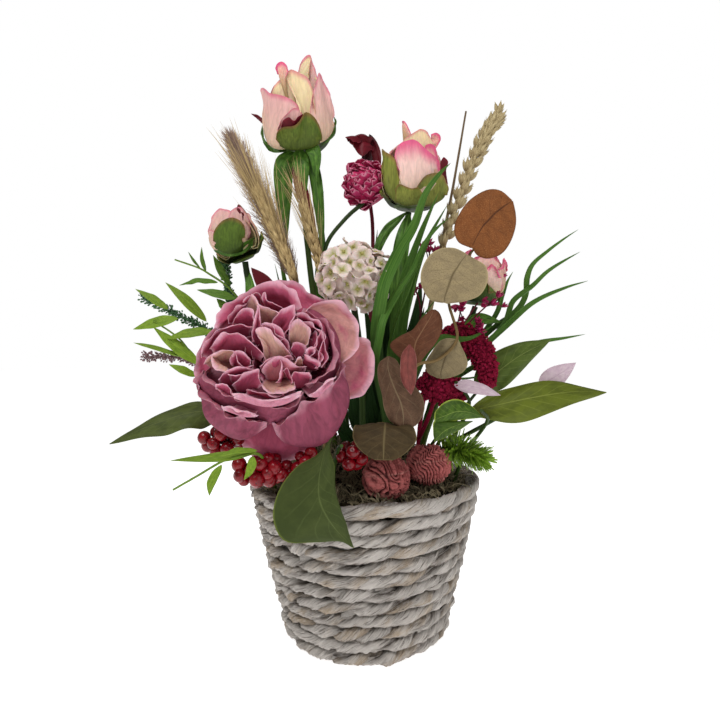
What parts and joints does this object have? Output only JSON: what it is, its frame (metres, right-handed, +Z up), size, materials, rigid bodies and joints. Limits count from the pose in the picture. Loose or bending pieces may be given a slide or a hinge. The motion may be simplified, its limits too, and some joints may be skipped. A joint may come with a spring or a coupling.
{
  "type": "flower basket arrangement",
  "caption": "Twisted-rope basket filled with foam and moss, holding silk peonies, buds, dried grain, eucalyptus, berries and grass, arranged to be seen from the front.",
  "frame": {"origin": "centre of the basket's flat underside, on the surface it stands on", "axes": "+Z up out of the basket; -Y towards the front, where the large bloom faces; +X to the viewer's right"},
  "size_m": [0.2844, 0.1721, 0.3657],
  "materials": {
    "rope": "dry twisted husk rope, thinly whitewashed, tan in patches",
    "liner": "thin milky film",
    "foam": "dry floral foam",
    "moss": "curled dry moss, dark with pale strands",
    "peony_petal": "silk petal, dusty pink with raspberry depths and pale edges",
    "bud_petal": "silk petal, cream to blush with magenta edges",
    "sepal": "printed green silk leaf, wine tinted at its edge",
    "stem": "green moulded stem",
    "crimson_petal": "crimson pink petal with paler edges",
    "burgundy_petal": "deep burgundy, soft sheen",
    "cream_floret": "white floret tinted pink, green at the heart",
    "straw": "dried grain, matt gold",
    "foxtail": "dried soft grass ear, grey brown",
    "eucalyptus_brown": "preserved leaf, copper brown and speckled",
    "eucalyptus_olive": "preserved leaf, olive grey",
    "eucalyptus_mauve": "preserved leaf, dusty mauve",
    "eucalyptus_dark": "preserved leaf, dark olive",
    "husk": "dried curled ball, raspberry with cream ridges",
    "berry": "glossy deep red",
    "leaf": "printed silk leaf with paler veins",
    "leaf_dark": "dark green silk leaf",
    "leaf_olive": "olive green silk leaf",
    "grass": "green blade with fine ribs",
    "grass_deep": "deep green blade",
    "bamboo": "fresh green narrow leaf",
    "heather_green": "small green buds",
    "heather_brown": "small brown-purple buds",
    "pale_petal": "pale pink silk",
    "velvet": "wine red velvet knobs",
    "wax_bud": "crimson buds on fine stems",
    "needle": "bright green soft needles"
  },
  "bodies": {
    "root": {"basket": "rope", "liner": "liner", "foam": "foam", "moss": "moss", "peony_petals": "peony_petal", "peony_stem": "stem", "bud_top_petals": "bud_petal", "bud_top_stem": "sepal", "bud_right_petals": "bud_petal", "bud_right_stem": "sepal", "bud_left_petals": "bud_petal", "bud_left_stem": "sepal", "bud_back_petals": "bud_petal", "bud_back_stem": "sepal", "pompon_petals": "crimson_petal", "pompon_stem": "stem", "snowball_florets": "cream_floret", "snowball_stem": "stem", "calla": "burgundy_petal", "burgundy_leaf": "burgundy_petal", "wheat": "straw", "barley": "straw", "foxtail": "foxtail", "eucalyptus_olive": "eucalyptus_olive", "eucalyptus_dark": "eucalyptus_dark", "eucalyptus_brown_high": "eucalyptus_brown", "eucalyptus_brown_low": "eucalyptus_brown", "eucalyptus_mauve": "eucalyptus_mauve", "dried_ball_front": "husk", "dried_ball_back": "husk", "berries_left": "berry", "berries_right": "berry", "leaf_front": "leaf", "leaf_left": "leaf_dark", "leaf_right_large": "leaf_olive", "leaf_right_small": "leaf", "leaf_right_upper": "leaf_olive", "pale_petals": "pale_petal", "amaranth": "velvet", "waxflower": "wax_bud", "needle_tuft": "needle", "bamboo_high": "bamboo", "bamboo_low": "bamboo", "willow_twig": "stem", "heather_green": "heather_green", "heather_brown": "heather_brown", "grass_left": "grass", "grass_middle": "grass", "grass_dark": "grass_deep", "grass_right": "grass", "grass_back": "grass_deep"}
  },
  "joints": []
}
